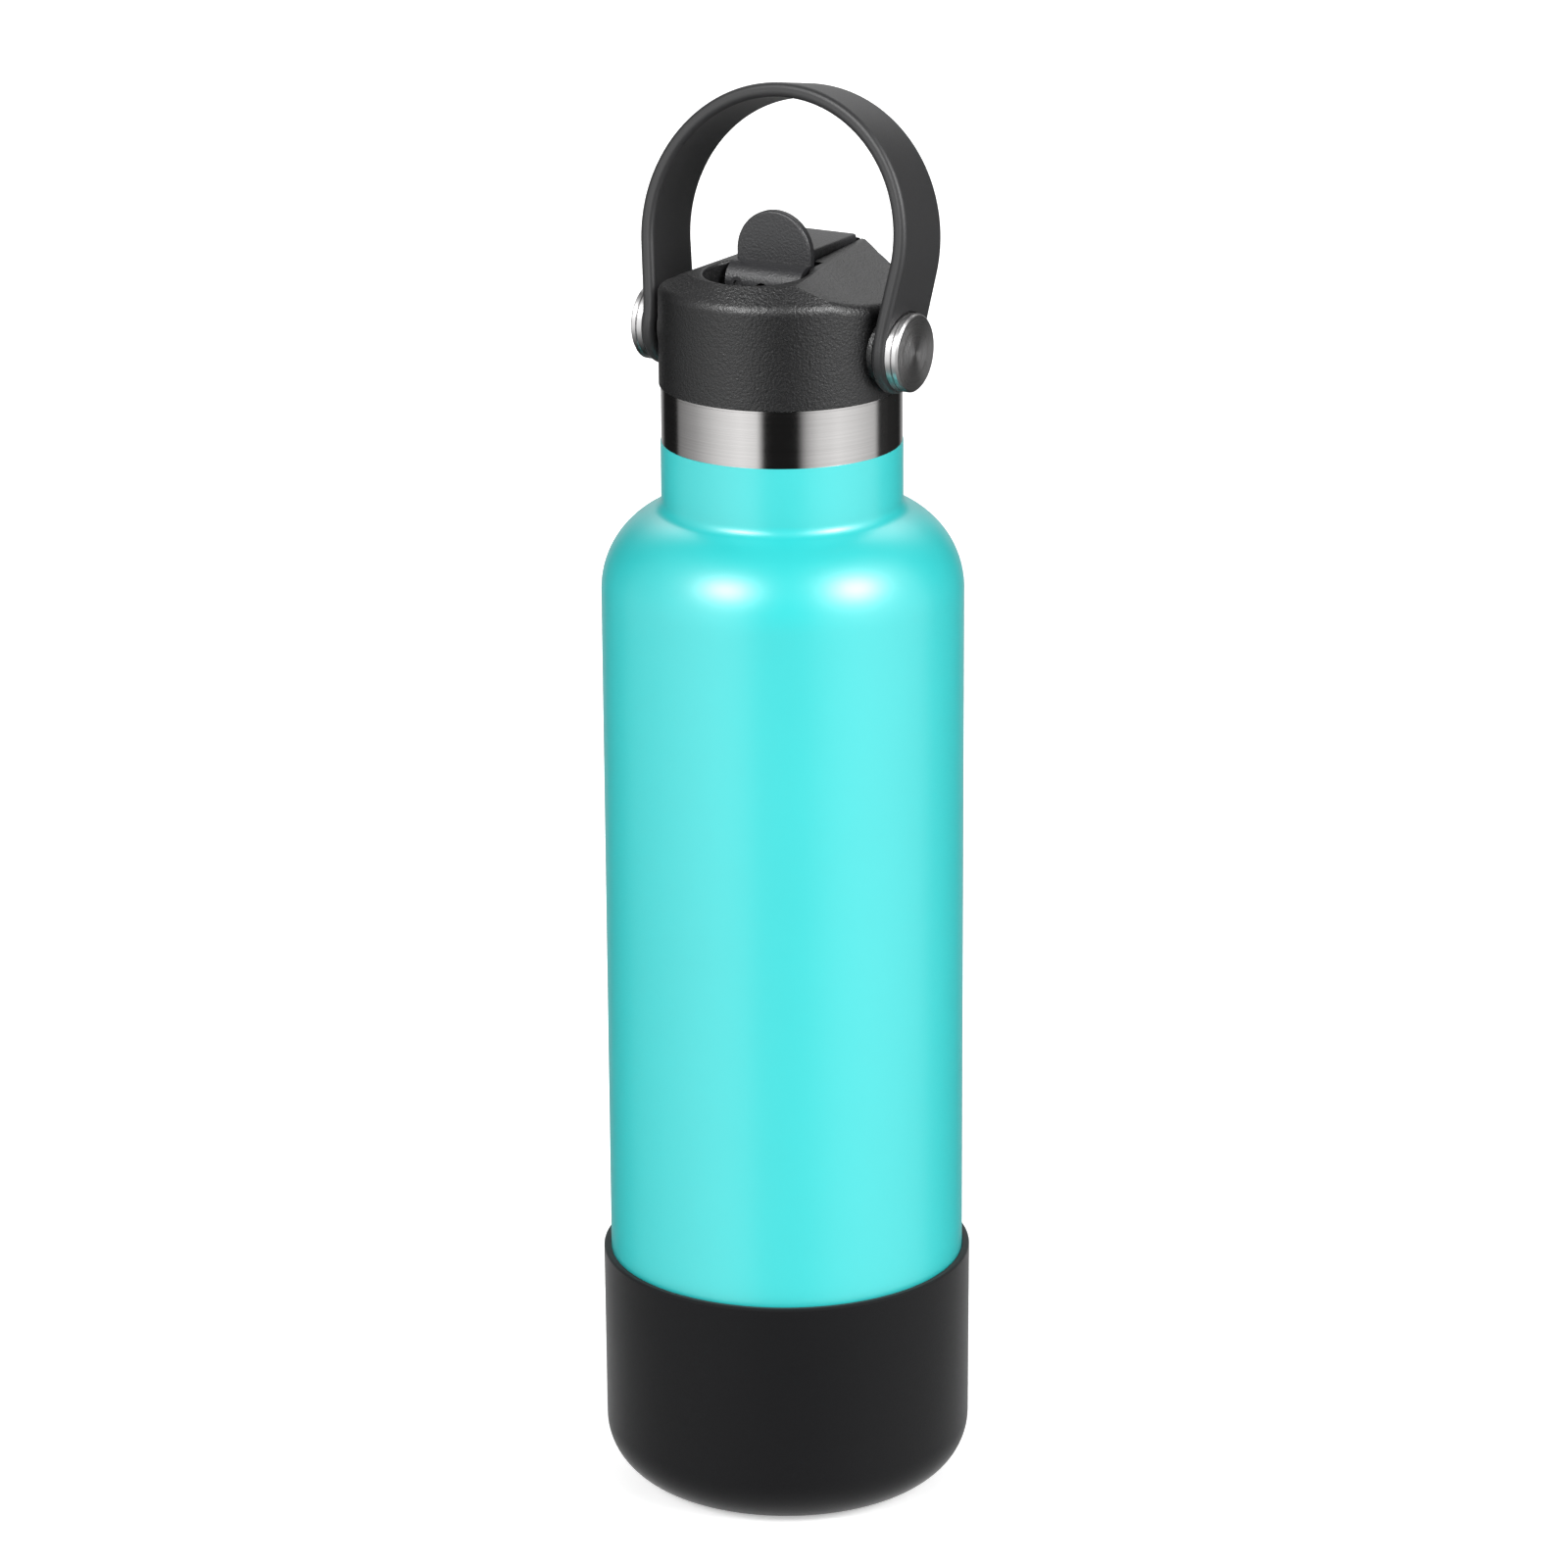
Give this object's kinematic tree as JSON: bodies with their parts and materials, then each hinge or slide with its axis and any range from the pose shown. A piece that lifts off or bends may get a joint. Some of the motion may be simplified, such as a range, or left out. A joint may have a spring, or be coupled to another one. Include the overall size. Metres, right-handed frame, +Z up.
{
  "type": "insulated water bottle",
  "caption": "Tall insulated bottle with a screw-in straw lid, flip-up spout, swinging carry strap and a protective boot.",
  "frame": {"origin": "centre of the boot's underside, on the surface the bottle stands on", "axes": "+Z up the bottle's axis through the mouth, X along the strap's pivots, +Y towards the back, where the folded spout points"},
  "size_m": [0.076, 0.076, 0.2931],
  "materials": {
    "bare_steel": "fine turned brushing, unpainted",
    "paint": "smooth satin powder coat, light aqua",
    "boot_rubber": "matt charcoal silicone",
    "lid_plastic": "black, fine spark-eroded grain",
    "spout_plastic": "charcoal, fine grain",
    "plug_plastic": "smooth black",
    "strap_rubber": "charcoal, silky matt",
    "button_steel": "spun faces with bright bevels",
    "brass": "machined",
    "seal_silicone": "translucent silicone",
    "gasket_silicone": "grey silicone",
    "straw_plastic": "milky, translucent",
    "foam": "closed-cell foam",
    "washer_nylon": "black nylon",
    "bush_acetal": "black acetal",
    "bead_glass": "fused sealing glass",
    "getter_alloy": "sintered powder"
  },
  "bodies": {
    "flask": {"outer_shell": "bare_steel", "powder_coat": "paint", "inner_flask": "bare_steel", "base_cap": "bare_steel", "seal_bead": "bead_glass", "getter_cup": "bare_steel", "getter_ring": "getter_alloy"},
    "boot_cup": {"boot": "boot_rubber"},
    "gasket": {"lid_gasket": "gasket_silicone"},
    "lid": {"lid_shell": "lid_plastic", "thread_plug": "plug_plastic", "lid_foam": "foam", "vent_valve": "seal_silicone", "spout_seal": "seal_silicone", "straw": "straw_plastic", "strap_washers": "washer_nylon", "pivot_bolts": "button_steel", "pivot_caps": "button_steel", "pivot_inserts": "brass"},
    "flip_spout": {"spout": "spout_plastic", "spout_pins": "button_steel"},
    "carry_strap": {"strap": "strap_rubber", "strap_bushes": "bush_acetal"}
  },
  "joints": [
    {"name": "boot_pull", "type": "slide", "parent": "flask", "child": "boot_cup", "axis": [0, 0, -1], "range_m": [0, 0.05]},
    {"name": "lid_climb", "type": "slide", "parent": "flask", "child": "gasket", "axis": [0, 0, 1], "range_m": [0, 0.0091]},
    {"name": "lid_turn", "type": "hinge", "parent": "gasket", "child": "lid", "pos_m": [0, 0, 0.2335], "axis": [0, 0, 1], "range_deg": [0, 810]},
    {"name": "spout_flip", "type": "hinge", "parent": "lid", "child": "flip_spout", "pos_m": [0, -0.0036, 0.2544], "axis": [1, 0, 0], "range_deg": [0, 90]},
    {"name": "strap_swing", "type": "hinge", "parent": "lid", "child": "carry_strap", "pos_m": [0, 0, 0.2428], "axis": [1, 0, 0], "range_deg": [-118, 138]}
  ],
  "couplings": [
    {"joint": "lid_climb", "follows": "lid_turn", "m_per_rad": 0.00063662}
  ]
}
